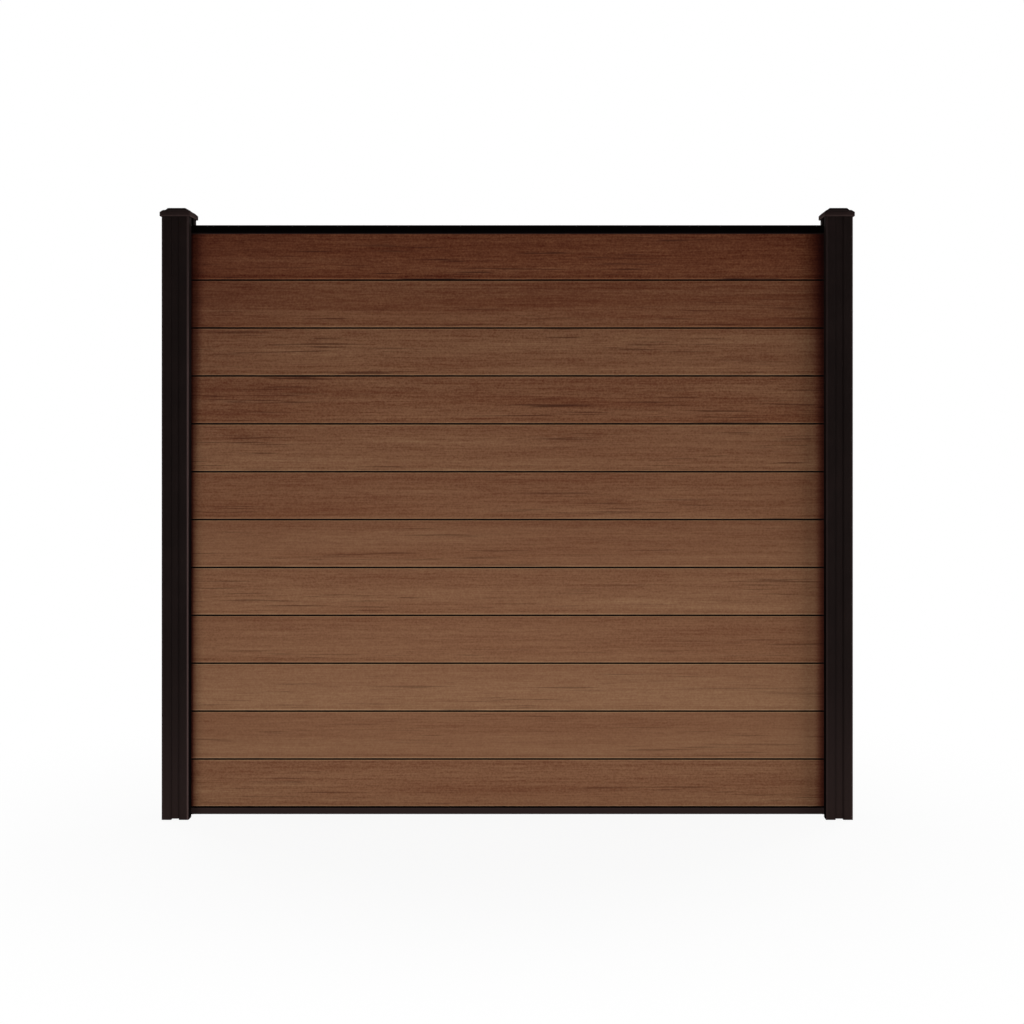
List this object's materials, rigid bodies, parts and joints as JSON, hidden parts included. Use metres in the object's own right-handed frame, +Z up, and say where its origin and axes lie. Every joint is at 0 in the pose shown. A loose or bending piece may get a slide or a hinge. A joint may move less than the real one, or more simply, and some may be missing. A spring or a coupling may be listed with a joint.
{
  "type": "composite fence panel",
  "caption": "Privacy fence panel of stacked hollow tongue-and-groove composite boards held in slotted aluminium posts, with top and bottom rails and stepped post caps.",
  "frame": {"origin": "on the ground under the middle of the panel, at the foot of the posts", "axes": "+X along the panel to the right as seen from the front, +Z up, the front faces -Y"},
  "size_m": [2.158, 0.094, 1.9033],
  "materials": {
    "composite_board": "matte wood-plastic composite with a fine brushed grain",
    "post_coating": "satin dark brown powder coat on aluminium",
    "rail_coating": "satin dark brown powder coat on aluminium",
    "strip_coating": "satin dark brown powder coat on aluminium",
    "cap_plastic": "fine-textured dark brown moulding",
    "gasket_rubber": "matte black",
    "bracket_steel": "galvanised",
    "screw_steel": "bright stainless"
  },
  "bodies": {
    "root": {"board_01": "composite_board", "board_02": "composite_board", "board_03": "composite_board", "board_04": "composite_board", "board_05": "composite_board", "board_06": "composite_board", "board_07": "composite_board", "board_08": "composite_board", "board_09": "composite_board", "board_10": "composite_board", "board_11": "composite_board", "board_12": "composite_board", "bottom_rail": "rail_coating", "top_rail": "rail_coating", "left_post": "post_coating", "right_post": "post_coating", "left_post_cap": "cap_plastic", "right_post_cap": "cap_plastic", "left_front_strip": "strip_coating", "left_outer_strip": "strip_coating", "left_back_strip": "strip_coating", "right_front_strip": "strip_coating", "right_outer_strip": "strip_coating", "right_back_strip": "strip_coating", "left_front_gasket": "gasket_rubber", "left_back_gasket": "gasket_rubber", "right_front_gasket": "gasket_rubber", "right_back_gasket": "gasket_rubber", "left_lower_bracket": "bracket_steel", "left_upper_bracket": "bracket_steel", "right_lower_bracket": "bracket_steel", "right_upper_bracket": "bracket_steel", "bracket_screws": "screw_steel"}
  },
  "joints": []
}
